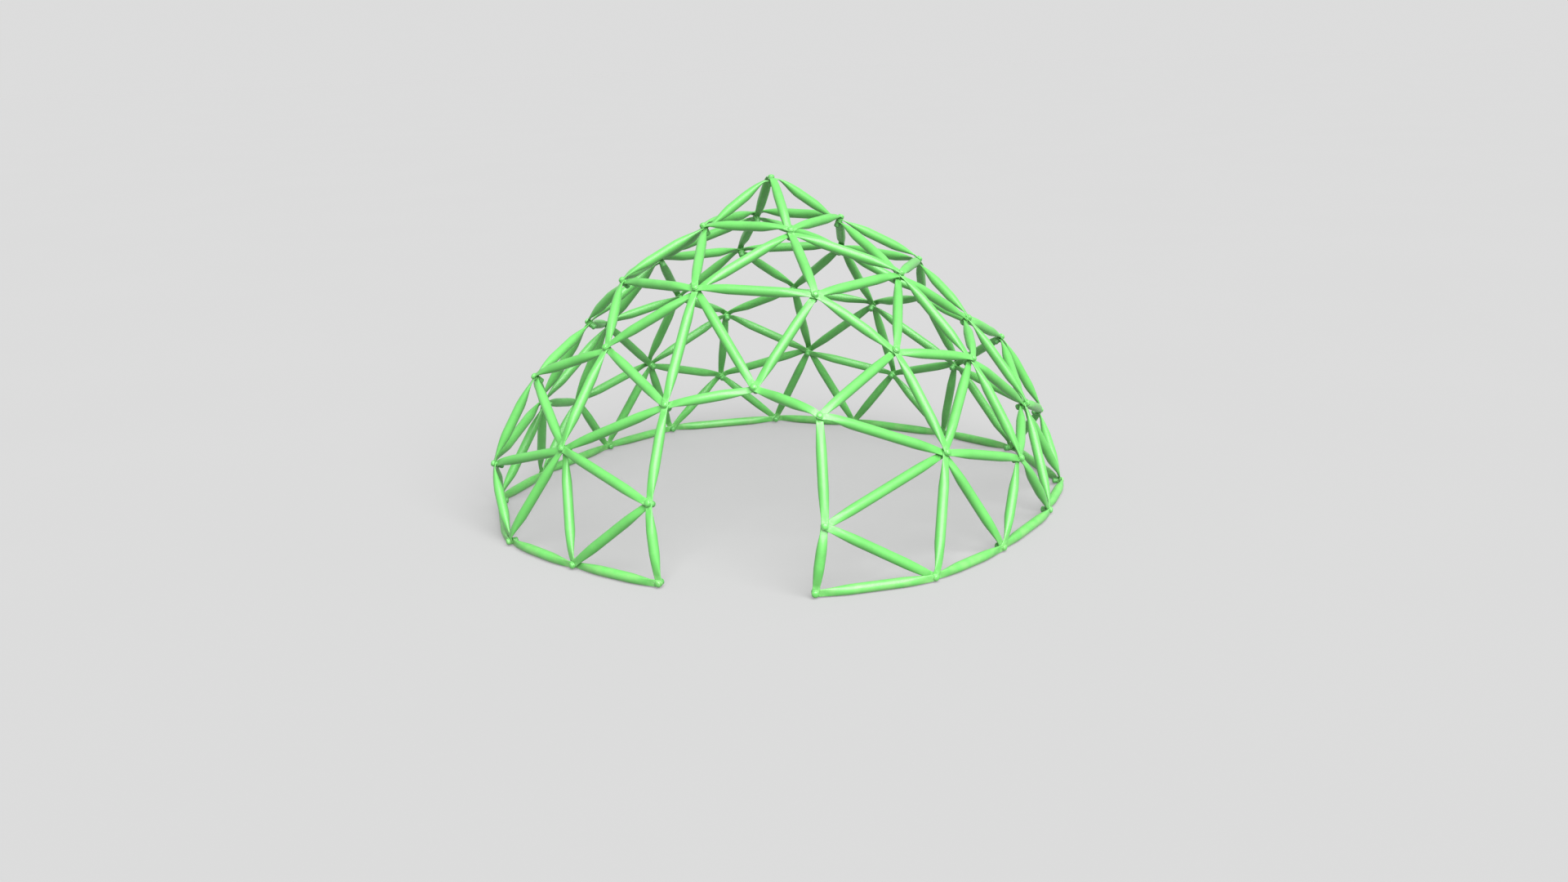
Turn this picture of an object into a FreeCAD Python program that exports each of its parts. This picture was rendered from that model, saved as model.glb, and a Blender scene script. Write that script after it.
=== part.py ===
"""Dome climber: straight steel tubes with flattened ends, stacked and bolted at every joint.

The dome has four like sectors. Four kite lines and four hub lines run down it in turn. An upper hub
of seven tubes sits on each hub line, a lower hub of seven tubes sits on each side of it, and an open
kite window straddles each kite line. The doorway is one lower bay with its hub and rail left out.
Millimetres and degrees. +Z is up, the doorway faces -Y, and the base rails lie on z = 0.
"""
import FreeCAD
import Part
import math
import os

Vec = FreeCAD.Vector
UP = Vec(0, 0, 1)

# Tube and its flattened, drilled ends
TUBE_DIAMETER = 42.4
TUBE_WALL = 2.0
TAB_WIDTH = 30.0
TAB_THICKNESS = 5.0
TAB_REACH = 32.0            # bolt centre to where the flat end starts to swell into the tube
TAB_REACH_CLEAR_SHARE = 0.4  # least reach, as a share of where round tubes at that angle would touch
SWAGE_LENGTH = 115.0        # from the flat end to the full round tube
SWAGE_LONGEST_SHARE = 0.36  # of a short tube's length between its flats
BORE_END_SHARE = 0.2        # share of the swage, next to the flat, that is pressed shut
BORE_TIP_RADIUS = 2.0

# Bolt, washers, nut and cap
BOLT_DIAMETER = 12.0
BOLT_HOLE_CLEARANCE = 0.5   # round the shank, in radius
HEAD_DIAMETER = 26.0
HEAD_EDGE = 2.0
HEAD_HEIGHT = 8.0
WASHER_DIAMETER = 30.0
WASHER_THICKNESS = 2.5
NUT_ACROSS_FLATS = 19.0
NUT_SIDES = 6
NUT_HEIGHT = 10.0
NUT_CLEARANCE = 0.2         # round the shank, in radius
THREAD_PAST_NUT = 4.0
CAP_WALL = 2.0
CAP_CLEARANCE = 0.5         # round the nut's corners and past the bolt's tip
CAP_DOME_SHARE = 0.5        # rise of the cap's lid as a share of its radius

# Joint rings: distance from the upright axis, and rise above the centre line of the base rails
APEX_RISE = 1450.0
CROWN_RADIUS = 312.0
CROWN_RISE = 1252.0
KITE_TOP_RADIUS = 684.0
KITE_TOP_RISE = 1040.0
UPPER_HUB_RADIUS = 628.0
UPPER_HUB_RISE = 1057.0
KITE_SIDE_RADIUS = 865.0
KITE_SIDE_RISE = 810.0
POST_TOP_RADIUS = 962.0
POST_TOP_RISE = 715.0
KITE_BOTTOM_RADIUS = 1096.0
KITE_BOTTOM_RISE = 642.0
LOWER_HUB_RADIUS = 1122.0
LOWER_HUB_RISE = 425.0
POST_FOOT_RADIUS = 1186.0
POST_FOOT_RISE = 305.0
KITE_FOOT_RADIUS = 1302.0
KITE_FOOT_RISE = 266.0
POST_BASE_RADIUS = 1250.0
KITE_BASE_RADIUS = 1314.0

# Directions: the first kite line and hub line, and how far joints stand to either side of a line
SECTORS = 4
SECTOR_ANGLE = 360.0 / SECTORS
KITE_AZIMUTH = -67.5
HUB_AZIMUTH = KITE_AZIMUTH + SECTOR_ANGLE / 2
KITE_SIDE_SPREAD = 24.9
LOWER_HUB_SPREAD = 22.5
POST_BASE_SPREAD = 12.3
KITE_BASE_SPREAD = 13.0

# Doorway: half widths at three heights, and how far its two head joints are let down
DOOR_FOOT_HALF_WIDTH = 315.0
DOOR_KNEE_HALF_WIDTH = 355.0
DOOR_HEAD_HALF_WIDTH = 320.0
DOOR_PEAK_DROP = 100.0
DOOR_SHOULDER_DROP = 70.0

BASE_AXIS_HEIGHT = TUBE_DIAMETER / 2
UPRIGHT_TOLERANCE = 1e-3    # sine of the tilt below which a direction counts as upright
BOTH_SIDES = (-1, 1)
DOOR_HUB = ("lower_hub", 3, 1)
BAY_NAMES = {
    ("lower_hub", 0, -1): "front_right",
    ("lower_hub", 0, 1): "right",
    ("lower_hub", 1, -1): "back_right",
    ("lower_hub", 1, 1): "back",
    ("lower_hub", 2, -1): "back_left",
    ("lower_hub", 2, 1): "left",
    ("lower_hub", 3, -1): "front_left",
}


def unit(vector):
    return Vec(vector) / vector.Length


def ring_point(radius, azimuth, rise):
    angle = math.radians(azimuth)
    return Vec(radius * math.cos(angle), radius * math.sin(angle), BASE_AXIS_HEIGHT + rise)


def beside_door(point, half_width, side):
    """The joint swung round the upright axis until it stands half_width from the door's centre plane."""
    radius = math.hypot(point.x, point.y)
    return Vec(side * half_width, -math.sqrt(radius ** 2 - half_width ** 2), point.z)


def regular_joints():
    """Every joint's centre before the doorway is shaped, by (kind, line number, side)."""
    joints = {("apex", 0, 0): Vec(0, 0, BASE_AXIS_HEIGHT + APEX_RISE)}
    kite_line_rings = {
        "crown": (CROWN_RADIUS, CROWN_RISE),
        "kite_top": (KITE_TOP_RADIUS, KITE_TOP_RISE),
        "kite_bottom": (KITE_BOTTOM_RADIUS, KITE_BOTTOM_RISE),
        "kite_foot": (KITE_FOOT_RADIUS, KITE_FOOT_RISE),
    }
    hub_line_rings = {
        "upper_hub": (UPPER_HUB_RADIUS, UPPER_HUB_RISE),
        "post_top": (POST_TOP_RADIUS, POST_TOP_RISE),
        "post_foot": (POST_FOOT_RADIUS, POST_FOOT_RISE),
    }
    for line in range(SECTORS):
        kite = KITE_AZIMUTH + line * SECTOR_ANGLE
        hub = HUB_AZIMUTH + line * SECTOR_ANGLE
        for kind, (radius, rise) in kite_line_rings.items():
            joints[kind, line, 0] = ring_point(radius, kite, rise)
        for kind, (radius, rise) in hub_line_rings.items():
            joints[kind, line, 0] = ring_point(radius, hub, rise)
        for side in BOTH_SIDES:
            joints["kite_side", line, side] = ring_point(
                KITE_SIDE_RADIUS, hub + side * KITE_SIDE_SPREAD, KITE_SIDE_RISE)
            joints["lower_hub", line, side] = ring_point(
                LOWER_HUB_RADIUS, hub + side * LOWER_HUB_SPREAD, LOWER_HUB_RISE)
            joints["post_base", line, side] = ring_point(
                POST_BASE_RADIUS, hub + side * POST_BASE_SPREAD, 0)
            joints["kite_base", line, side] = ring_point(
                KITE_BASE_RADIUS, kite + side * KITE_BASE_SPREAD, 0)
    return joints


def shape_doorway(joints):
    """Move the joints round the doorway so that its posts stand nearly upright under a low gable."""
    for key, half_width, side in (
        (("post_base", 3, 1), DOOR_FOOT_HALF_WIDTH, -1),
        (("kite_base", 0, -1), DOOR_FOOT_HALF_WIDTH, 1),
        (("post_foot", 3, 0), DOOR_KNEE_HALF_WIDTH, -1),
        (("kite_foot", 0, 0), DOOR_KNEE_HALF_WIDTH, 1),
        (("post_top", 3, 0), DOOR_HEAD_HALF_WIDTH, -1),
        (("kite_bottom", 0, 0), DOOR_HEAD_HALF_WIDTH, 1),
    ):
        joints[key] = beside_door(joints[key], half_width, side)
    joints["kite_side", 3, 1] -= UP * DOOR_PEAK_DROP
    joints["post_top", 3, 0] -= UP * DOOR_SHOULDER_DROP


def lower_hub_ring(line, side):
    """The seven joints round a lower hub."""
    kite = line if side < 0 else (line + 1) % SECTORS
    return [
        ("kite_bottom", kite, 0),
        ("kite_side", line, side),
        ("post_top", line, 0),
        ("post_foot", line, 0),
        ("post_base", line, side),
        ("kite_base", kite, -side),
        ("kite_foot", kite, 0),
    ]


def upper_hub_ring(line):
    """The seven joints round an upper hub."""
    following = (line + 1) % SECTORS
    return [
        ("crown", line, 0),
        ("crown", following, 0),
        ("kite_top", following, 0),
        ("kite_side", line, 1),
        ("post_top", line, 0),
        ("kite_side", line, -1),
        ("kite_top", line, 0),
    ]


def spokes(hub, ring):
    return [(hub, key) for key in ring]


def strut_nodes():
    """Node name to its tubes, each a pair of joints."""
    nodes = {}
    apex = ("apex", 0, 0)
    for line in range(SECTORS):
        number = line + 1
        following = (line + 1) % SECTORS
        before = (line - 1) % SECTORS
        crown = ("crown", line, 0)
        kite_top = ("kite_top", line, 0)
        kite_bottom = ("kite_bottom", line, 0)
        kite_foot = ("kite_foot", line, 0)
        upper_hub = ("upper_hub", line, 0)
        post_top = ("post_top", line, 0)
        post_foot = ("post_foot", line, 0)
        window_sides = [("kite_side", line, -1), ("kite_side", before, 1)]
        nodes[f"apex_strut_{number}"] = [(apex, crown)]
        nodes[f"crown_rail_{number}"] = [(crown, ("crown", following, 0))]
        nodes[f"crown_rafter_{number}"] = [(crown, kite_top)]
        nodes[f"upper_hub_spokes_{number}"] = spokes(upper_hub, upper_hub_ring(line))
        nodes[f"kite_window_frame_{number}"] = [
            (corner, side) for side in window_sides for corner in (kite_top, kite_bottom)]
        nodes[f"post_braces_{number}"] = [
            (post_top, ("kite_side", line, side)) for side in BOTH_SIDES] + [(post_top, post_foot)]
        nodes[f"kite_legs_{number}"] = [(kite_bottom, kite_foot)] + [
            (kite_foot, ("kite_base", line, side)) for side in BOTH_SIDES]
        nodes[f"post_legs_{number}"] = [(post_foot, ("post_base", line, side)) for side in BOTH_SIDES]
        nodes[f"base_rail_post_{number}"] = [(("post_base", line, -1), ("post_base", line, 1))]
        nodes[f"base_rail_kite_{number}"] = [(("kite_base", line, -1), ("kite_base", line, 1))]
    for hub, bay in BAY_NAMES.items():
        ring = lower_hub_ring(hub[1], hub[2])
        nodes[f"lower_hub_spokes_{bay}"] = spokes(hub, ring)
        base_pair = [key for key in ring if key[0] in ("post_base", "kite_base")]
        nodes[f"base_rail_bay_{bay}"] = [tuple(base_pair)]
    return nodes


def turned_angle(vector, normal):
    """Angle of a vector round the normal, from the level direction across it."""
    across = UP.cross(normal)
    across = unit(across) if across.Length > UPRIGHT_TOLERANCE else Vec(1, 0, 0)
    return math.atan2(vector.dot(normal.cross(across)), vector.dot(across))


def outward_normal(point, neighbours):
    """Mean normal of the faces that meet at a joint, from the fan of its neighbours."""
    centre = Vec(0, 0, BASE_AXIS_HEIGHT)
    rough = unit(point - centre)
    rays = [unit(other - point) for other in neighbours]
    rays.sort(key=lambda ray: turned_angle(ray, rough))
    total = Vec(0, 0, 0)
    for ray, following in zip(rays, rays[1:] + rays[:1]):
        total += ray.cross(following)
    return unit(total)


def joint_normals(joints, tubes):
    """Bolt direction at every joint: level and outward on the base, square to the shell above it."""
    fan_tubes = tubes + spokes(DOOR_HUB, lower_hub_ring(DOOR_HUB[1], DOOR_HUB[2]))
    normals = {}
    for key, point in joints.items():
        if key[0].endswith("_base"):
            normals[key] = unit(Vec(point.x, point.y, 0))
        else:
            neighbours = [joints[b if a == key else a] for a, b in fan_tubes if key in (a, b)]
            normals[key] = outward_normal(point, neighbours)
    return normals


def spread_layer(place, count):
    """Layer of the tab at a place in the turn round a joint, so that neighbours lie layers apart."""
    half, odd = divmod(place, 2)
    return half + odd * ((count + 1) // 2)


def tab_layers(joints, normals, tubes):
    """Height of each tube's tab along its joint's bolt, by (joint, far joint), and tabs per joint."""
    heights = {}
    counts = {}
    for key, point in joints.items():
        far = [b if a == key else a for a, b in tubes if key in (a, b)]
        normal = normals[key]
        far.sort(key=lambda other: turned_angle(joints[other] - point, normal))
        counts[key] = len(far)
        for place, other in enumerate(far):
            layer = spread_layer(place, len(far))
            heights[key, other] = (layer - (len(far) - 1) / 2) * TAB_THICKNESS
    return heights, counts


def tab_reaches(joints, tubes):
    """Reach of each tube's tab, by (joint, far joint): longer where its neighbour stands at a sharp angle."""
    reaches = {}
    for key, point in joints.items():
        far = [b if a == key else a for a, b in tubes if key in (a, b)]
        ways = {other: unit(joints[other] - point) for other in far}
        for other, way in ways.items():
            sharpest = min(way.getAngle(ways[third]) for third in ways if third != other)
            touch = TUBE_DIAMETER / 2 / math.sin(sharpest / 2)
            reaches[key, other] = max(TAB_REACH, touch * TAB_REACH_CLEAR_SHARE)
    return reaches


def section(centre, along, across, width, thickness):
    """Closed section of four edges: a circle in quarters, or two flats joined by round edges."""
    lift = unit(along).cross(across)
    edge_radius = thickness / 2
    edge_centre = (width - thickness) / 2
    is_round = edge_centre == 0
    corner_angle = math.radians(45 if is_round else 90)
    corner_x = edge_centre + edge_radius * math.cos(corner_angle)
    corner_y = edge_radius * math.sin(corner_angle)

    def at(x, y):
        return centre + across * x + lift * y

    edges = []
    for sign in (1, -1):
        start = at(-sign * corner_x, sign * corner_y)
        end = at(sign * corner_x, sign * corner_y)
        if is_round:
            side = Part.Arc(start, at(0, sign * edge_radius), end)
        else:
            side = Part.LineSegment(start, end)
        far_corner = at(sign * corner_x, -sign * corner_y)
        edge = Part.Arc(end, at(sign * (edge_centre + edge_radius), 0), far_corner)
        edges += [side.toShape(), edge.toShape()]
    return Part.Wire(edges)


def tab(bolt_centre, normal, outward, reach):
    """Flat end of a tube: a plate with a round nose and a bolt hole."""
    across = normal.cross(outward)
    base = bolt_centre - normal * (TAB_THICKNESS / 2)
    half = across * (TAB_WIDTH / 2)
    nose = Part.Arc(base + half, base - outward * (TAB_WIDTH / 2), base - half).toShape()
    end = base + outward * reach
    corners = [base - half, end - half, end + half, base + half]
    sides = [Part.LineSegment(a, b).toShape() for a, b in zip(corners, corners[1:])]
    hole_radius = BOLT_DIAMETER / 2 + BOLT_HOLE_CLEARANCE
    plate = Part.Face(Part.Wire([nose] + sides)).extrude(normal * TAB_THICKNESS)
    return plate.cut(Part.makeCylinder(hole_radius, TAB_THICKNESS, base, normal))


def turned_profile(points):
    """Solid turned round Z from a closed outline of (radius, height) points."""
    corners = [Vec(radius, 0, height) for radius, height in points]
    wire = Part.makePolygon(corners + corners[:1])
    return Part.Face(wire).revolve(Vec(0, 0, 0), UP, 360)


def placed(shape, point, direction):
    """Copy of a shape with its origin moved to a point and its Z axis turned to a direction."""
    copy = shape.copy()
    copy.Placement = FreeCAD.Placement(point, FreeCAD.Rotation(UP, direction))
    return copy


def bore(start, along, length, swage):
    """Hollow inside a tube, drawn in towards each pressed end."""
    radius = TUBE_DIAMETER / 2 - TUBE_WALL
    shut = swage * BORE_END_SHARE
    shape = turned_profile([
        (0, shut),
        (BORE_TIP_RADIUS, shut),
        (radius, swage),
        (radius, length - swage),
        (BORE_TIP_RADIUS, length - shut),
        (0, length - shut),
    ])
    return placed(shape, start, along)


def tube_end(flat_end, flat_way, across, round_start, along, level):
    """Tapered length of tube from its flat end to its full round section."""
    return Part.makeLoft([
        section(flat_end, flat_way, across, TAB_WIDTH, TAB_THICKNESS),
        section(round_start, along, level, TUBE_DIAMETER, TUBE_DIAMETER),
    ], True, True)


def strut(joints, normals, heights, reaches, a, b):
    """One tube between two joints: round in the middle, swaged to a flat tab at each end."""
    ends = []
    for here, there in ((a, b), (b, a)):
        normal = normals[here]
        bolt_centre = joints[here] + normal * heights[here, there]
        way = joints[there] - joints[here]
        outward = unit(way - normal * way.dot(normal))
        ends.append((bolt_centre, normal, outward, reaches[here, there]))
    (centre_a, normal_a, out_a, reach_a), (centre_b, normal_b, out_b, reach_b) = ends
    start = centre_a + out_a * reach_a
    finish = centre_b + out_b * reach_b
    along = unit(finish - start)
    length = (finish - start).Length
    swage = min(SWAGE_LENGTH, length * SWAGE_LONGEST_SHARE)
    across_a = normal_a.cross(out_a)
    across_b = out_b.cross(normal_b)
    level = across_a + across_b
    level = unit(level - along * level.dot(along))
    round_start = start + along * swage
    round_end = finish - along * swage
    middle = Part.makeCylinder(TUBE_DIAMETER / 2, length - 2 * swage, round_start, along)
    outside = middle.fuse([
        tube_end(start, out_a, across_a, round_start, along, level),
        tube_end(finish, out_b * -1, across_b, round_end, along, level),
        tab(centre_a, normal_a, out_a, reach_a),
        tab(centre_b, normal_b, out_b, reach_b),
    ])
    return outside.cut(bore(start, along, length, swage)).Solids[0]


def dome_top(radius, rise):
    """Shallow spherical cap of a given foot radius and rise, on z = 0."""
    sphere_radius = (radius ** 2 + rise ** 2) / (2 * rise)
    ball = Part.makeSphere(sphere_radius, Vec(0, 0, rise - sphere_radius))
    return ball.common(Part.makeCylinder(radius, rise))


def bolt(stack):
    """Bolt whose head rests on the outer washer, for a stack of tabs centred on z = 0."""
    seat = stack / 2 + WASHER_THICKNESS
    tip = -(stack / 2 + WASHER_THICKNESS + NUT_HEIGHT + THREAD_PAST_NUT)
    shank = Part.makeCylinder(BOLT_DIAMETER / 2, seat - tip, Vec(0, 0, tip))
    rim = Part.makeCylinder(HEAD_DIAMETER / 2, HEAD_EDGE, Vec(0, 0, seat))
    crown = dome_top(HEAD_DIAMETER / 2, HEAD_HEIGHT - HEAD_EDGE)
    crown.translate(UP * (seat + HEAD_EDGE))
    return shank.fuse([rim, crown])


def washer(base):
    inner = BOLT_DIAMETER / 2 + BOLT_HOLE_CLEARANCE
    outer = WASHER_DIAMETER / 2
    top = base + WASHER_THICKNESS
    return turned_profile([(inner, base), (outer, base), (outer, top), (inner, top)])


def nut_corner_radius():
    return NUT_ACROSS_FLATS / 2 / math.cos(math.pi / NUT_SIDES)


def nut(stack):
    """Hexagon nut under the inner washer."""
    top = -(stack / 2 + WASHER_THICKNESS)
    corner_radius = nut_corner_radius()
    angles = [math.radians(360 / NUT_SIDES * k) for k in range(NUT_SIDES)]
    corners = [Vec(corner_radius * math.cos(a), corner_radius * math.sin(a), top) for a in angles]
    hexagon = Part.Face(Part.makePolygon(corners + corners[:1])).extrude(UP * -NUT_HEIGHT)
    hole = Part.makeCylinder(BOLT_DIAMETER / 2 + NUT_CLEARANCE, NUT_HEIGHT, Vec(0, 0, top - NUT_HEIGHT))
    return hexagon.cut(hole)


def nut_cap(stack):
    """Domed cap over the nut and the bolt's tip, with its rim on the inner washer."""
    rim = -(stack / 2 + WASHER_THICKNESS)
    inner = nut_corner_radius() + CAP_CLEARANCE
    outer = inner + CAP_WALL
    depth = NUT_HEIGHT + THREAD_PAST_NUT + CAP_CLEARANCE
    sleeve = turned_profile([(inner, rim - depth), (outer, rim - depth), (outer, rim), (inner, rim)])
    lid = dome_top(outer, outer * CAP_DOME_SHARE)
    lid.rotate(Vec(0, 0, 0), Vec(1, 0, 0), 180)
    lid.translate(UP * (rim - depth))
    return sleeve.fuse(lid)


FASTENERS = {
    "joint_bolts": bolt,
    "outer_washers": lambda stack: washer(stack / 2),
    "inner_washers": lambda stack: washer(-stack / 2 - WASHER_THICKNESS),
    "joint_nuts": nut,
    "nut_caps": nut_cap,
}


def fastener_nodes(joints, normals, counts):
    """Each kind of fastener as one node, with one solid at every joint."""
    nodes = {}
    for name, make in FASTENERS.items():
        patterns = {count: make(count * TAB_THICKNESS) for count in set(counts.values())}
        nodes[name] = [placed(patterns[counts[key]], joints[key], normals[key]) for key in joints]
    return nodes


def centring_move(shapes):
    """Move that puts the middle of the whole dome's box on the Z axis."""
    box = Part.Compound(shapes).optimalBoundingBox(False, False)
    return Vec(-box.Center.x, -box.Center.y, 0)


def main():
    os.makedirs("parts", exist_ok=True)
    joints = regular_joints()
    shape_doorway(joints)
    node_tubes = strut_nodes()
    tubes = [pair for pairs in node_tubes.values() for pair in pairs]
    normals = joint_normals(joints, tubes)
    del joints[DOOR_HUB]
    heights, counts = tab_layers(joints, normals, tubes)
    reaches = tab_reaches(joints, tubes)
    nodes = {
        name: [strut(joints, normals, heights, reaches, a, b) for a, b in pairs]
        for name, pairs in node_tubes.items()}
    nodes.update(fastener_nodes(joints, normals, counts))
    move = centring_move([solid for solids in nodes.values() for solid in solids])
    for name, solids in nodes.items():
        compound = Part.Compound(solids)
        compound.translate(move)
        compound.exportStep(f"parts/{name}.step")


main()
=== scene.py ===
"""Looks of the dome climber: swaged tubes, fasteners, powder coat, studio and camera.

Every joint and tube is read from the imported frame: a joint's two washers give its centre, its bolt's
direction and its stack's height, and the hollow inside a tube gives its line and length. Metres.
"""

import math

import bpy
import numpy as np
from mathutils import Matrix, Vector


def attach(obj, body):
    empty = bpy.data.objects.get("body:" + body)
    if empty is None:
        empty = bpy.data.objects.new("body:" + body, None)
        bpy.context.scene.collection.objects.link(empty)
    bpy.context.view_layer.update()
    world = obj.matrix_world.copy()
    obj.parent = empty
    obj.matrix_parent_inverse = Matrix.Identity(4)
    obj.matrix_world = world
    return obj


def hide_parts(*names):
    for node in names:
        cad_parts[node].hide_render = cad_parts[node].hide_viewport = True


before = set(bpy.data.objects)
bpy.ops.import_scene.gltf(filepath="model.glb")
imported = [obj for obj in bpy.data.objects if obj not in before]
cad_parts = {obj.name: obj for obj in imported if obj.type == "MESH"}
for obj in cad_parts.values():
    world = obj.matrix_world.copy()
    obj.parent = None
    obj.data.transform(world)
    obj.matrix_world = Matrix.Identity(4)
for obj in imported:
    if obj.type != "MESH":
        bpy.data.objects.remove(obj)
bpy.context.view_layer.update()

UP = Vector((0, 0, 1))
WELD_STEPS = 1e6        # per metre: vertices in the same step are one
FASTENERS = {"joint_bolts", "outer_washers", "inner_washers", "joint_nuts", "nut_caps"}

# Tube and its flattened, drilled ends
TUBE_RADIUS = 0.0212
TAB_HALF_WIDTH = 0.015
TAB_HALF_THICKNESS = 0.0025
TAB_SPINE = TAB_HALF_WIDTH - TAB_HALF_THICKNESS     # from a tab's middle to where its edge rounds over
SWAGE_LENGTH = 0.115
SWAGE_LONGEST_SHARE = 0.36
BORE_END_SHARE = 0.2    # share of a swage, next to the flat, where the tube's hollow is pressed shut
BORE_LEAST_GAP = 0.04   # a tube's hollow keeps this far from every joint, and its outside doesn't
HOLE_RADIUS = 0.0065
SWELL_EASE = 1.4        # over 1, a swage grows fast next to its tab and eases into the full tube
TAB_BEND_SHARE = 0.30   # how far a swage keeps to its tab's plane before it turns along the tube

# Fasteners
WASHER_THICKNESS = 0.0025
WASHER_RADIUS = 0.015
BOLT_RADIUS = 0.006
BOLT_TIP_CHAMFER = 0.001
HEAD_RADIUS = 0.013
HEAD_EDGE = 0.002
HEAD_HEIGHT = 0.008
NUT_HEIGHT = 0.010
THREAD_PAST_NUT = 0.004
CAP_INNER_RADIUS = 0.0114
CAP_RADIUS = 0.0134
CAP_DEPTH = 0.0145
CAP_DOME = 0.0066
CAP_ROOF = 0.002
EDGE_ROUNDING = 0.0005

# Mesh density
EDGE_POINTS = 8         # round each half-round edge of a tab
FACE_POINTS = 8         # across each flat of a tab, between its edges
NOSE_STEPS = 14         # round a tab's nose
SIDE_STEPS = 6          # along a tab's straight sides
SWAGE_STEPS = 18        # from the flat to the round tube
TURN_STEPS = 36         # round bolts, washers and caps
DOME_STEPS = 7          # up the dome of a head or cap
SHARP_ANGLE = math.radians(38)

# Finish: linear colours, and shades as shares of a colour
TUBE_GREEN = (0.073, 0.298, 0.061)
WORN_GREEN = (0.15, 0.40, 0.13)
CAP_GREEN = (0.056, 0.245, 0.050)
DUST = (0.19, 0.28, 0.13)
BARE_ZINC = (0.56, 0.57, 0.58)
FILMED_ZINC = (0.70, 0.69, 0.62)
MOTTLE_SHADE = 0.85
PLASTIC_SHADE = 0.92
TUBE_GLOSS = 0.42
FASTENER_GLOSS = 0.36
EDGE_POINTINESS = (0.515, 0.57)     # a flat surface has 0.5, and a convex edge more
EDGE_WEAR = 0.75
DUST_HEIGHT = 0.10
DUST_MOST = 0.35
GRAIN_DETAIL = 2
NOISE_RANGE = (0.3, 0.7)            # nearly all of a noise lies in this range
MIDDLE_NOISE = (0.35, 0.65)
FULL = (0, 1)

# Camera: azimuth -90 looks in at the doorway's side of the dome
CAMERA_AZIMUTH = -81.44
CAMERA_ELEVATION = 15.87
CAMERA_DISTANCE = 6.796
CAMERA_ROLL = -1.8
CAMERA_AIM = Vector((0, -0.0126, 0))
CAMERA_AIM_RIGHT = 0.020
CAMERA_AIM_UP = 0.252
CAMERA_LENS = 33.1
SENSOR_WIDTH = 36.0

# Studio
FLOOR_RADIUS = 80.0
FLOOR_SIDES = 96
FLOOR_SHADE = 0.13
FLOOR_MOTTLE = 1.03
FLOOR_GLOW = 0.287       # the floor's own light, which keeps shadows on it faint
SKY_SHADE = 0.72
SUN_AZIMUTH = -60.0
SUN_ELEVATION = 48.0
SUN_STRENGTH = 10.8
SUN_SPREAD = math.radians(64)


# ---------------------------------------------------------------- reading the frame

def solids(name):
    """The distinct vertices of each separate solid of a CAD node."""
    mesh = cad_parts[name].data
    points = np.empty(len(mesh.vertices) * 3)
    mesh.vertices.foreach_get("co", points)
    corners = np.empty(len(mesh.loops), dtype=np.int64)
    mesh.loops.foreach_get("vertex_index", corners)
    grid = np.round(points.reshape(-1, 3) * WELD_STEPS).astype(np.int64)
    distinct, place = np.unique(grid, axis=0, return_inverse=True)
    triangles = place.ravel()[corners.reshape(-1, 3)]
    label = np.arange(len(distinct))
    while True:
        lowest = label[triangles].min(axis=1)
        spread = label.copy()
        for corner in triangles.T:
            np.minimum.at(spread, corner, lowest)
        spread = spread[spread]
        if np.array_equal(spread, label):
            break
        label = spread
    return [distinct[label == root] / WELD_STEPS for root in np.unique(label)]


def read_joints():
    """Each joint as its centre, its bolt's direction and half of its stack's height."""
    outer = [points.mean(axis=0) for points in solids("outer_washers")]
    inner = [points.mean(axis=0) for points in solids("inner_washers")]
    joints = []
    for centre in outer:
        partner = min(inner, key=lambda other: np.linalg.norm(other - centre))
        span = Vector(centre - partner)
        middle = Vector((centre + partner) / 2)
        joints.append((middle, span.normalized(), (span.length - WASHER_THICKNESS) / 2))
    return joints


def read_tubes(name, joints):
    """Each tube of a CAD node as its two ends: (joint centre, bolt direction, where its flat stops)."""
    centres = np.array([joint[0] for joint in joints])
    tubes = []
    for points in solids(name):
        reach = np.linalg.norm(points[:, None] - centres, axis=2).min()
        if reach < BORE_LEAST_GAP:
            continue
        middle = points.mean(axis=0)
        along = np.linalg.svd(points - middle, full_matrices=False)[2][0]
        bore = np.ptp((points - middle) @ along)
        length = bore + 2 * BORE_END_SHARE * SWAGE_LENGTH
        if length * SWAGE_LONGEST_SHARE < SWAGE_LENGTH:
            length = bore / (1 - 2 * BORE_END_SHARE * SWAGE_LONGEST_SHARE)
        ends = []
        for side in (-1, 1):
            stop = middle + along * (side * length / 2)
            joint = joints[np.linalg.norm(centres - stop, axis=1).argmin()]
            ends.append((joint[0], joint[1], Vector(stop)))
        tubes.append(ends)
    return tubes


# ---------------------------------------------------------------- meshes

class Shell:
    """Vertices and faces of one piece, gathered solid by solid."""

    def __init__(self):
        self.points = []
        self.faces = []

    def add(self, points):
        first = len(self.points)
        self.points += points
        return list(range(first, first + len(points)))

    def strip(self, one, other, closed):
        """Quads between two rows of vertices of the same length."""
        count = len(one) if closed else len(one) - 1
        for k in range(count):
            following = (k + 1) % len(one)
            self.faces.append((one[k], one[following], other[following], other[k]))

    def piece(self, name, material):
        mesh = bpy.data.meshes.new(name)
        mesh.from_pydata([tuple(point) for point in self.points], [], self.faces)
        mesh.validate()
        mesh.materials.append(material)
        mesh.shade_smooth()
        mesh.set_sharp_from_angle(angle=SHARP_ANGLE)
        piece = bpy.data.objects.new(name, mesh)
        bpy.context.scene.collection.objects.link(piece)
        return piece


def swell(share):
    """How far a swage has grown from flat to round: fast at first, and easing into the full tube."""
    return 1 - (1 - share) ** SWELL_EASE


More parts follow.
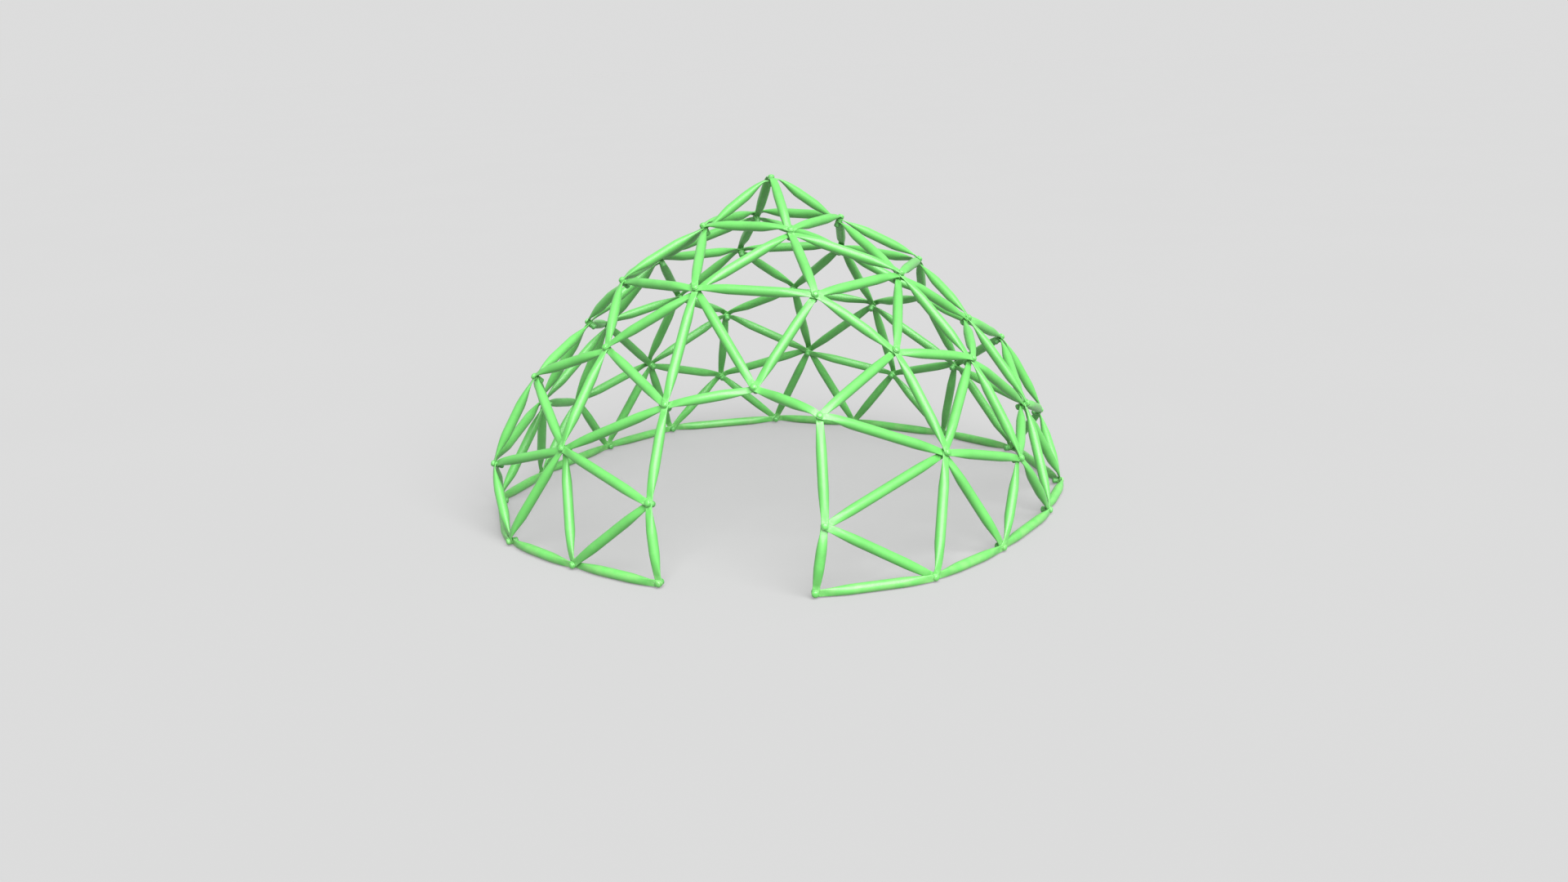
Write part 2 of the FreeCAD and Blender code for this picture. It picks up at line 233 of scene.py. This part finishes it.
def edge_section():
    """Half-round edge of a tab from top to under side, as (distance from the tab's middle, height)."""
    angles = [math.pi * (0.5 - k / (EDGE_POINTS - 1)) for k in range(EDGE_POINTS)]
    return [
        (TAB_SPINE + TAB_HALF_THICKNESS * math.cos(angle), TAB_HALF_THICKNESS * math.sin(angle))
        for angle in angles]


def flat_outline():
    """A tab's section, clockwise from the top of its right edge: edge, under side, edge, top."""
    points = []
    for side in (1, -1):
        points += [(side * x, side * y) for x, y in edge_section()]
        for k in range(1, FACE_POINTS + 1):
            x = TAB_SPINE * (1 - 2 * k / (FACE_POINTS + 1))
            points.append((side * x, -side * TAB_HALF_THICKNESS))
    return points


def round_outline():
    """The round tube's section, with its points in step with the tab's."""
    count = 2 * (EDGE_POINTS + FACE_POINTS)
    middle = (EDGE_POINTS - 1) / 2
    angles = [-(k - middle) * 2 * math.pi / count for k in range(count)]
    return [(TUBE_RADIUS * math.cos(angle), TUBE_RADIUS * math.sin(angle)) for angle in angles]


FLAT_OUTLINE = flat_outline()
ROUND_OUTLINE = round_outline()


def ring_offsets(outline, across, lift):
    return [across * x + lift * y for x, y in outline]


def tab(shell, bolt_centre, normal, outward, ring, side):
    """Flat end with a round nose and a bolt hole, joined to the swage's first ring of vertices."""
    across = normal.cross(outward) * side
    reach = outward.dot(shell.points[ring[0]] - bolt_centre)
    under_first = EDGE_POINTS
    left_first = EDGE_POINTS + FACE_POINTS
    top_first = left_first + EDGE_POINTS
    shares = [k / SIDE_STEPS for k in range(1, SIDE_STEPS)]
    stations = [(across, outward * (reach * share)) for share in shares[::-1]]
    for step in range(NOSE_STEPS + 1):
        turn = math.pi * step / NOSE_STEPS
        stations.append((across * math.cos(turn) - outward * math.sin(turn), Vector()))
    stations += [(-across, outward * (reach * share)) for share in shares]
    rows = [ring[:EDGE_POINTS]]
    for way, shift in stations:
        middle = bolt_centre + shift
        rows.append(shell.add([middle + way * x + normal * y for x, y in edge_section()]))
    rows.append(ring[left_first:top_first][::-1])
    for row, following in zip(rows, rows[1:]):
        shell.strip(row, following, False)
    top_edge = [row[0] for row in rows] + ring[top_first:]
    under_edge = [row[-1] for row in rows] + ring[under_first:left_first][::-1]
    rims = []
    for edge, level in ((top_edge, TAB_HALF_THICKNESS), (under_edge, -TAB_HALF_THICKNESS)):
        rim = []
        for index in edge:
            way = shell.points[index] - bolt_centre
            way -= normal * way.dot(normal)
            rim.append(bolt_centre + way.normalized() * HOLE_RADIUS + normal * level)
        rims.append(shell.add(rim))
    top_rim, under_rim = rims
    shell.strip(top_edge, top_rim, True)
    shell.strip(top_rim, under_rim, True)
    shell.strip(under_rim, under_edge, True)


def swage_rings(shell, flat_centre, flat_way, flat_offsets, round_centre, along, round_offsets):
    """Rings of vertices from the flat end to the round tube, turning smoothly out of the tab's plane."""
    length = (round_centre - flat_centre).length
    pull = length * TAB_BEND_SHARE
    rings = []
    for step in range(SWAGE_STEPS + 1):
        share = step / SWAGE_STEPS
        rest = 1 - share
        straight = flat_centre.lerp(round_centre, share)
        leave = (flat_way - along) * (pull * share * rest * rest)
        middle = straight + leave
        rings.append(shell.add([
            middle + flat.lerp(full, swell(share)) for flat, full in zip(flat_offsets, round_offsets)]))
    return rings


def strut(shell, end_a, end_b):
    """One swaged tube between two joints."""
    joint_a, normal_a, start = end_a
    joint_b, normal_b, finish = end_b
    bolt_a = joint_a + normal_a * normal_a.dot(start - joint_a)
    bolt_b = joint_b + normal_b * normal_b.dot(finish - joint_b)
    out_a = (start - bolt_a).normalized()
    out_b = (finish - bolt_b).normalized()
    length = (finish - start).length
    along = (finish - start) / length
    swage = min(SWAGE_LENGTH, length * SWAGE_LONGEST_SHARE)
    across_a = normal_a.cross(out_a)
    across_b = out_b.cross(normal_b)
    level = across_a + across_b
    level = (level - along * level.dot(along)).normalized()
    full = ring_offsets(ROUND_OUTLINE, level, along.cross(level))
    flat_a = ring_offsets(FLAT_OUTLINE, across_a, normal_a)
    flat_b = ring_offsets(FLAT_OUTLINE, across_b, normal_b)
    rings = swage_rings(shell, start, out_a, flat_a, start + along * swage, along, full)
    far_rings = swage_rings(shell, finish, out_b, flat_b, finish - along * swage, -along, full)
    rings += far_rings[::-1]
    for ring, following in zip(rings, rings[1:]):
        shell.strip(following, ring, True)
    tab(shell, bolt_a, normal_a, out_a, rings[0], 1)
    first = len(shell.faces)
    tab(shell, bolt_b, normal_b, out_b, rings[-1], -1)
    shell.faces[first:] = [face[::-1] for face in shell.faces[first:]]


def turned(shell, profile, centre, axis):
    """Outline of (radius, height) points turned round an axis.

    A point on the axis is a pole, and an outline that starts off the axis is closed.
    """
    turn = UP.rotation_difference(axis).to_matrix()
    rings = []
    for radius, height in profile:
        if radius == 0:
            pole = shell.add([centre + turn @ Vector((0, 0, height))])[0]
            rings.append([pole] * TURN_STEPS)
            continue
        angles = [2 * math.pi * k / TURN_STEPS for k in range(TURN_STEPS)]
        rings.append(shell.add([
            centre + turn @ Vector((radius * math.cos(a), radius * math.sin(a), height)) for a in angles]))
    pairs = list(zip(rings, rings[1:]))
    if profile[0][0] > 0:
        pairs.append((rings[-1], rings[0]))
    for lower, upper in pairs:
        for k in range(TURN_STEPS):
            following = (k + 1) % TURN_STEPS
            corners = [lower[k], lower[following], upper[following], upper[k]]
            shell.faces.append(tuple(dict.fromkeys(corners)))


def dome(radius, foot, rise):
    """Points of an elliptical dome, from its foot to its pole."""
    points = []
    for step in range(DOME_STEPS + 1):
        angle = math.pi / 2 * step / DOME_STEPS
        points.append((radius * math.cos(angle), foot + rise * math.sin(angle)))
    points[-1] = (0, foot + rise)
    return points


def bolt_profile(half_stack):
    """Domed bolt from its chamfered tip to the top of its head."""
    seat = half_stack + WASHER_THICKNESS
    tip = -(seat + NUT_HEIGHT + THREAD_PAST_NUT)
    return [
        (0, tip),
        (BOLT_RADIUS - BOLT_TIP_CHAMFER, tip),
        (BOLT_RADIUS, tip + BOLT_TIP_CHAMFER),
        (BOLT_RADIUS, seat),
        (HEAD_RADIUS - EDGE_ROUNDING, seat),
        (HEAD_RADIUS, seat + EDGE_ROUNDING),
    ] + dome(HEAD_RADIUS, seat + HEAD_EDGE, HEAD_HEIGHT - HEAD_EDGE)


def washer_profile(base):
    top = base + WASHER_THICKNESS
    return [
        (HOLE_RADIUS, base),
        (WASHER_RADIUS - EDGE_ROUNDING, base),
        (WASHER_RADIUS, base + EDGE_ROUNDING),
        (WASHER_RADIUS, top - EDGE_ROUNDING),
        (WASHER_RADIUS - EDGE_ROUNDING, top),
        (HOLE_RADIUS, top),
    ]


def cap_profile(half_stack):
    """Hollow cap over the nut, heights measured away from the stack on the bolt's inner side."""
    rim = half_stack + WASHER_THICKNESS
    outside = [(CAP_RADIUS - EDGE_ROUNDING, rim), (CAP_RADIUS, rim + EDGE_ROUNDING)]
    outside += dome(CAP_RADIUS, rim + CAP_DEPTH, CAP_DOME)
    inside = dome(CAP_INNER_RADIUS, rim + CAP_DEPTH, CAP_DOME - CAP_ROOF)
    return [(0, rim + CAP_DEPTH + CAP_DOME - CAP_ROOF)] + inside[-2::-1] + [(CAP_INNER_RADIUS, rim)] + outside


# ---------------------------------------------------------------- materials

def node_material(name):
    material = bpy.data.materials.new(name)
    material.use_nodes = True
    tree = material.node_tree
    return material, tree, tree.nodes["Principled BSDF"]


def noise(tree, scale, detail, stretch=(1, 1, 1)):
    """Noise in the object's own space, stretched along its axes."""
    place = tree.nodes.new("ShaderNodeTexCoord")
    squeeze = tree.nodes.new("ShaderNodeMapping")
    squeeze.inputs["Scale"].default_value = stretch
    texture = tree.nodes.new("ShaderNodeTexNoise")
    texture.inputs["Scale"].default_value = scale
    texture.inputs["Detail"].default_value = detail
    tree.links.new(place.outputs["Object"], squeeze.inputs["Vector"])
    tree.links.new(squeeze.outputs["Vector"], texture.inputs["Vector"])
    return texture.outputs["Fac"]


def remap(tree, value, span, result):
    """Value carried from one range to another, and held at its ends."""
    node = tree.nodes.new("ShaderNodeMapRange")
    for socket, number in zip(("From Min", "From Max", "To Min", "To Max"), span + result):
        node.inputs[socket].default_value = number
    tree.links.new(value, node.inputs["Value"])
    return node.outputs["Result"]


def mix_colour(tree, share, one, other):
    """Blend of two colours, each a plain colour or a node's output."""
    node = tree.nodes.new("ShaderNodeMix")
    node.data_type = "RGBA"
    tree.links.new(share, node.inputs["Factor"])
    for socket, colour in (("A", one), ("B", other)):
        target = [s for s in node.inputs if s.name == socket and s.type == "RGBA"][0]
        if isinstance(colour, tuple):
            target.default_value = colour + (1,)
        else:
            tree.links.new(colour, target)
    return [s for s in node.outputs if s.type == "RGBA"][0]


def multiply(tree, one, other):
    node = tree.nodes.new("ShaderNodeMath")
    node.operation = "MULTIPLY"
    tree.links.new(one, node.inputs[0])
    tree.links.new(other, node.inputs[1])
    return node.outputs["Value"]


def shaded(colour, shade):
    return tuple(channel * shade for channel in colour)


def vary_roughness(tree, shader, scale, detail, low, high, stretch=(1, 1, 1)):
    roughness = remap(tree, noise(tree, scale, detail, stretch), NOISE_RANGE, (low, high))
    tree.links.new(roughness, shader.inputs["Roughness"])


def add_grain(tree, shader, scale, strength, depth):
    """Fine relief all over the surface."""
    node = tree.nodes.new("ShaderNodeBump")
    node.inputs["Strength"].default_value = strength
    node.inputs["Distance"].default_value = depth
    tree.links.new(noise(tree, scale, GRAIN_DETAIL), node.inputs["Height"])
    tree.links.new(node.outputs["Normal"], shader.inputs["Normal"])


def edge_wear(tree, geometry):
    """How far the coat is rubbed: patches along convex edges."""
    edge = remap(tree, geometry.outputs["Pointiness"], EDGE_POINTINESS, (0, EDGE_WEAR))
    patches = remap(tree, noise(tree, scale=90, detail=4), (0.42, 0.60), FULL)
    return multiply(tree, edge, patches)


def ground_dust(tree, geometry):
    """How much dust lies on the coat: patches that fade out above the ground."""
    split = tree.nodes.new("ShaderNodeSeparateXYZ")
    tree.links.new(geometry.outputs["Position"], split.inputs["Vector"])
    low_down = remap(tree, split.outputs["Z"], (0.0, DUST_HEIGHT), (DUST_MOST, 0))
    patches = remap(tree, noise(tree, scale=24, detail=5), (0.40, 0.68), FULL)
    return multiply(tree, low_down, patches)


def powder_coat(name, colour, worn, gloss):
    """Smooth powder coat: faint mottling, orange peel, dust near the ground and paler rubbed edges."""
    material, tree, shader = node_material(name)
    geometry = tree.nodes.new("ShaderNodeNewGeometry")
    mottling = remap(tree, noise(tree, scale=7, detail=3), MIDDLE_NOISE, FULL)
    mottled = mix_colour(tree, mottling, shaded(colour, MOTTLE_SHADE), colour)
    edged = mix_colour(tree, edge_wear(tree, geometry), mottled, worn)
    dusted = mix_colour(tree, ground_dust(tree, geometry), edged, DUST)
    tree.links.new(dusted, shader.inputs["Base Color"])
    vary_roughness(tree, shader, scale=38, detail=4, low=gloss - 0.05, high=gloss + 0.07, stretch=(1, 1, 0.5))
    add_grain(tree, shader, scale=420, strength=0.30, depth=0.0005)
    shader.inputs["Specular IOR Level"].default_value = 0.35
    shader.inputs["Coat Weight"].default_value = 0.16
    shader.inputs["Coat Roughness"].default_value = 0.18
    return material


def moulded_plastic(name, colour):
    """Nut caps: even satin plastic with a fine grain."""
    material, tree, shader = node_material(name)
    cloudy = mix_colour(tree, noise(tree, scale=30, detail=2), shaded(colour, PLASTIC_SHADE), colour)
    tree.links.new(cloudy, shader.inputs["Base Color"])
    vary_roughness(tree, shader, scale=160, detail=3, low=0.42, high=0.52)
    add_grain(tree, shader, scale=1500, strength=0.12, depth=0.0002)
    return material


def zinc_plate(name):
    """Nuts: bright zinc with a cloudy passivated film."""
    material, tree, shader = node_material(name)
    film = remap(tree, noise(tree, scale=130, detail=4), MIDDLE_NOISE, FULL)
    tree.links.new(mix_colour(tree, film, BARE_ZINC, FILMED_ZINC), shader.inputs["Base Color"])
    vary_roughness(tree, shader, scale=240, detail=3, low=0.28, high=0.42)
    add_grain(tree, shader, scale=1300, strength=0.10, depth=0.0001)
    shader.inputs["Metallic"].default_value = 1
    return material


# ---------------------------------------------------------------- pieces

def make_tubes(joints, material):
    """One piece for each CAD node of tubes, in its place."""
    for name in sorted(set(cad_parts) - FASTENERS):
        shell = Shell()
        for end_a, end_b in read_tubes(name, joints):
            strut(shell, end_a, end_b)
        adopt(shell.piece(f"{name}_swaged", material), name)


def adopt(piece, node):
    """The piece stands for a CAD node, on the dome's one body."""
    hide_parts(node)
    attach(piece, "root")


def make_fasteners(joints, coat, plastic):
    """Bolts, washers and caps, one piece of each kind with a solid at every joint."""
    bolts, outer, inner, caps = Shell(), Shell(), Shell(), Shell()
    for centre, normal, half_stack in joints:
        turned(bolts, bolt_profile(half_stack), centre, normal)
        turned(outer, washer_profile(half_stack), centre, normal)
        turned(inner, washer_profile(half_stack), centre, -normal)
        turned(caps, cap_profile(half_stack), centre, -normal)
    adopt(bolts.piece("domed_bolts", coat), "joint_bolts")
    adopt(outer.piece("outer_washer_rings", coat), "outer_washers")
    adopt(inner.piece("inner_washer_rings", coat), "inner_washers")
    adopt(caps.piece("domed_nut_caps", plastic), "nut_caps")


# ---------------------------------------------------------------- studio

def direction(azimuth, elevation):
    a, e = math.radians(azimuth), math.radians(elevation)
    return Vector((math.cos(e) * math.cos(a), math.cos(e) * math.sin(a), math.sin(e)))


def make_camera():
    back = direction(CAMERA_AZIMUTH, CAMERA_ELEVATION)
    right = UP.cross(back).normalized()
    up = back.cross(right)
    aim = CAMERA_AIM + right * CAMERA_AIM_RIGHT + up * CAMERA_AIM_UP
    roll = math.radians(CAMERA_ROLL)
    rolled_right = right * math.cos(roll) + up * math.sin(roll)
    rolled_up = up * math.cos(roll) - right * math.sin(roll)
    data = bpy.data.cameras.new("camera")
    data.lens = CAMERA_LENS
    data.sensor_width = SENSOR_WIDTH
    camera = bpy.data.objects.new("camera", data)
    axes = Matrix((rolled_right, rolled_up, back)).transposed().to_4x4()
    camera.matrix_world = Matrix.Translation(aim + back * CAMERA_DISTANCE) @ axes
    bpy.context.scene.collection.objects.link(camera)
    bpy.context.scene.camera = camera


def make_floor():
    """Pale floor that runs out of sight on every side."""
    material, tree, shader = node_material("studio_floor")
    grey = (FLOOR_SHADE, FLOOR_SHADE, FLOOR_SHADE)
    mottled = mix_colour(tree, noise(tree, scale=0.6, detail=3), grey, shaded(grey, FLOOR_MOTTLE))
    tree.links.new(mottled, shader.inputs["Base Color"])
    shader.inputs["Roughness"].default_value = 1.0
    shader.inputs["Specular IOR Level"].default_value = 0.0
    shader.inputs["Emission Color"].default_value = (1, 1, 1, 1)
    shader.inputs["Emission Strength"].default_value = FLOOR_GLOW
    shell = Shell()
    angles = [2 * math.pi * k / FLOOR_SIDES for k in range(FLOOR_SIDES)]
    rim = shell.add([Vector((FLOOR_RADIUS * math.cos(a), FLOOR_RADIUS * math.sin(a), 0)) for a in angles])
    shell.faces.append(tuple(rim))
    shell.piece("studio_floor", material)


def make_sun():
    data = bpy.data.lights.new("sun", "SUN")
    data.energy = SUN_STRENGTH
    data.angle = SUN_SPREAD
    sun = bpy.data.objects.new("sun", data)
    way = direction(SUN_AZIMUTH, SUN_ELEVATION)
    sun.location = way
    sun.rotation_euler = way.to_track_quat("Z", "Y").to_euler()
    bpy.context.scene.collection.objects.link(sun)


def make_studio():
    """Floor, a broad soft light from the front right, and an even sky that shows as bright as the floor."""
    make_floor()
    make_sun()
    world = bpy.data.worlds.new("studio")
    world.use_nodes = True
    sky = world.node_tree.nodes["Background"]
    sky.inputs["Color"].default_value = (1, 1, 1, 1)
    sky.inputs["Strength"].default_value = SKY_SHADE
    bpy.context.scene.world = world
    bpy.context.scene.view_settings.view_transform = "Standard"


def main():
    make_camera()
    make_studio()
    coat = powder_coat("powder_coat", TUBE_GREEN, WORN_GREEN, TUBE_GLOSS)
    fastener_coat = powder_coat("fastener_paint", TUBE_GREEN, WORN_GREEN, FASTENER_GLOSS)
    plastic = moulded_plastic("cap_plastic", CAP_GREEN)
    joints = read_joints()
    make_tubes(joints, coat)
    make_fasteners(joints, fastener_coat, plastic)
    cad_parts["joint_nuts"].material_slots[0].material = zinc_plate("zinc_plate")


main()
